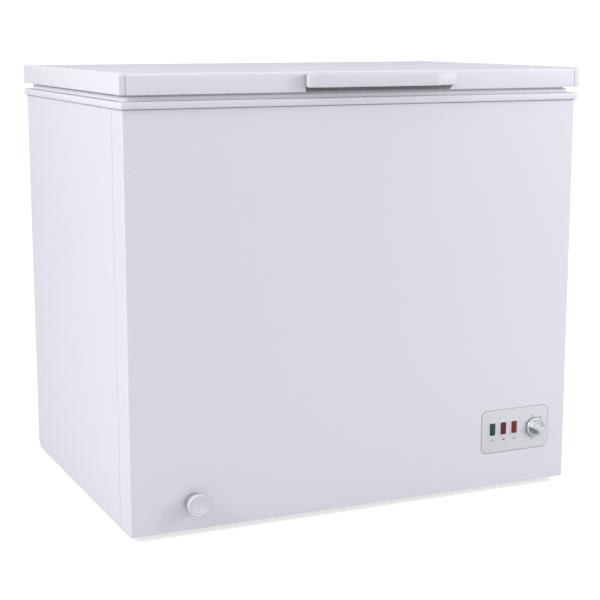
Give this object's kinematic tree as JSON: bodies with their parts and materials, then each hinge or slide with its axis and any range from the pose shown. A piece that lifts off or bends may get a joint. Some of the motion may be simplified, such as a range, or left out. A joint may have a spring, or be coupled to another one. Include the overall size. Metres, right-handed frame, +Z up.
{
  "type": "chest freezer",
  "caption": "White chest freezer with a hinged lid, long front handle, control panel, thermostat knob and drain knob.",
  "frame": {"origin": "on the floor under the middle of the whole freezer outline", "axes": "+X to the right seen from the front, +Y to the back, +Z up"},
  "size_m": [0.947, 0.718, 0.85],
  "materials": {
    "white_enamel": "gloss",
    "white_plastic": "satin",
    "panel_plastic": "satin",
    "galvanised_steel": "satin",
    "foam": "matte",
    "liner_sheet": "satin",
    "green_lens": "gloss",
    "dark_red_lens": "gloss",
    "red_lens": "gloss",
    "black_plastic": "satin",
    "grey_plastic": "satin",
    "copper": "satin",
    "steel": "satin",
    "silver_knob": "satin",
    "black_enamel": "gloss",
    "rubber": "matte",
    "white_rubber": "matte",
    "aluminium_tube": "satin",
    "coated_wire": "gloss",
    "roller_plastic": "satin"
  },
  "bodies": {
    "cabinet": {"front_panel": "white_enamel", "left_side_panel": "white_enamel", "right_side_panel": "white_enamel", "back_panel": "white_enamel", "base_pan": "galvanised_steel", "base_rails": "galvanised_steel", "insulation": "foam", "inner_liner": "liner_sheet", "top_trim": "white_plastic", "control_panel": "panel_plastic", "lamp_bezels": "white_plastic", "green_lamp": "green_lens", "left_red_lamp": "dark_red_lens", "right_red_lamp": "red_lens", "lamp_holder": "black_plastic", "thermostat": "galvanised_steel", "thermostat_probe": "copper", "drain_tube": "white_plastic", "drain_collar": "white_plastic", "compressor": "black_enamel", "compressor_plate": "galvanised_steel", "compressor_grommets": "rubber", "compressor_bolts": "steel", "start_relay": "black_plastic", "filter_drier": "copper", "discharge_line": "copper", "suction_line": "copper", "capillary_tube": "copper", "condenser_coil": "copper", "evaporator_coil": "aluminium_tube", "side_grille": "white_plastic", "rear_cover": "galvanised_steel", "cover_screws": "steel", "cord_gland": "black_plastic", "wall_spacers": "black_plastic", "hinge_brackets": "galvanised_steel", "hinge_pins": "steel", "hinge_springs": "steel", "hinge_covers": "white_plastic", "roller_axles": "steel"},
    "lid": {"lid_outer_panel": "white_enamel", "lid_left_cap": "white_plastic", "lid_right_cap": "white_plastic", "lid_insulation": "foam", "lid_liner": "white_plastic", "lid_gasket": "white_rubber", "lid_handle": "white_plastic", "handle_screws": "steel", "hinge_leaves": "galvanised_steel"},
    "thermostat_dial": {"thermostat_knob": "silver_knob", "thermostat_shaft": "steel"},
    "drain_slider": {"drain_stem": "grey_plastic"},
    "drain_cap": {"drain_knob": "white_plastic"},
    "floor_plug": {"floor_drain_plug": "white_plastic"},
    "basket": {"wire_basket": "coated_wire"},
    "left_foot": {"left_foot": "black_plastic"},
    "right_foot": {"right_foot": "black_plastic"},
    "left_roller": {"left_roller": "roller_plastic"},
    "right_roller": {"right_roller": "roller_plastic"}
  },
  "joints": [
    {"name": "lid_hinge", "type": "hinge", "parent": "cabinet", "child": "lid", "pos_m": [0, 0.348, 0.805], "axis": [-1, 0, 0], "range_deg": [0, 80]},
    {"name": "thermostat_turn", "type": "hinge", "parent": "cabinet", "child": "thermostat_dial", "pos_m": [0.3945, -0.3302, 0.125], "axis": [0, 1, 0], "range_deg": [-26, 282]},
    {"name": "drain_pull", "type": "slide", "parent": "cabinet", "child": "drain_slider", "axis": [0, -1, 0], "range_m": [0, 0.025]},
    {"name": "drain_turn", "type": "hinge", "parent": "drain_slider", "child": "drain_cap", "pos_m": [-0.345, -0.3285, 0.065], "axis": [0, 1, 0], "range_deg": [0, 180]},
    {"name": "floor_plug_lift", "type": "slide", "parent": "cabinet", "child": "floor_plug", "axis": [0, 0, 1], "range_m": [0, 0.03]},
    {"name": "basket_slide", "type": "slide", "parent": "cabinet", "child": "basket", "axis": [1, 0, 0], "range_m": [0, 0.56]},
    {"name": "left_foot_height", "type": "slide", "parent": "cabinet", "child": "left_foot", "axis": [0, 0, -1], "range_m": [0, 0.008]},
    {"name": "right_foot_height", "type": "slide", "parent": "cabinet", "child": "right_foot", "axis": [0, 0, -1], "range_m": [0, 0.008]},
    {"name": "left_roller_spin", "type": "hinge", "parent": "cabinet", "child": "left_roller", "pos_m": [-0.3775, 0.262, 0.0195], "axis": [1, 0, 0], "continuous": true},
    {"name": "right_roller_spin", "type": "hinge", "parent": "cabinet", "child": "right_roller", "pos_m": [0.3775, 0.262, 0.0195], "axis": [1, 0, 0], "continuous": true}
  ]
}
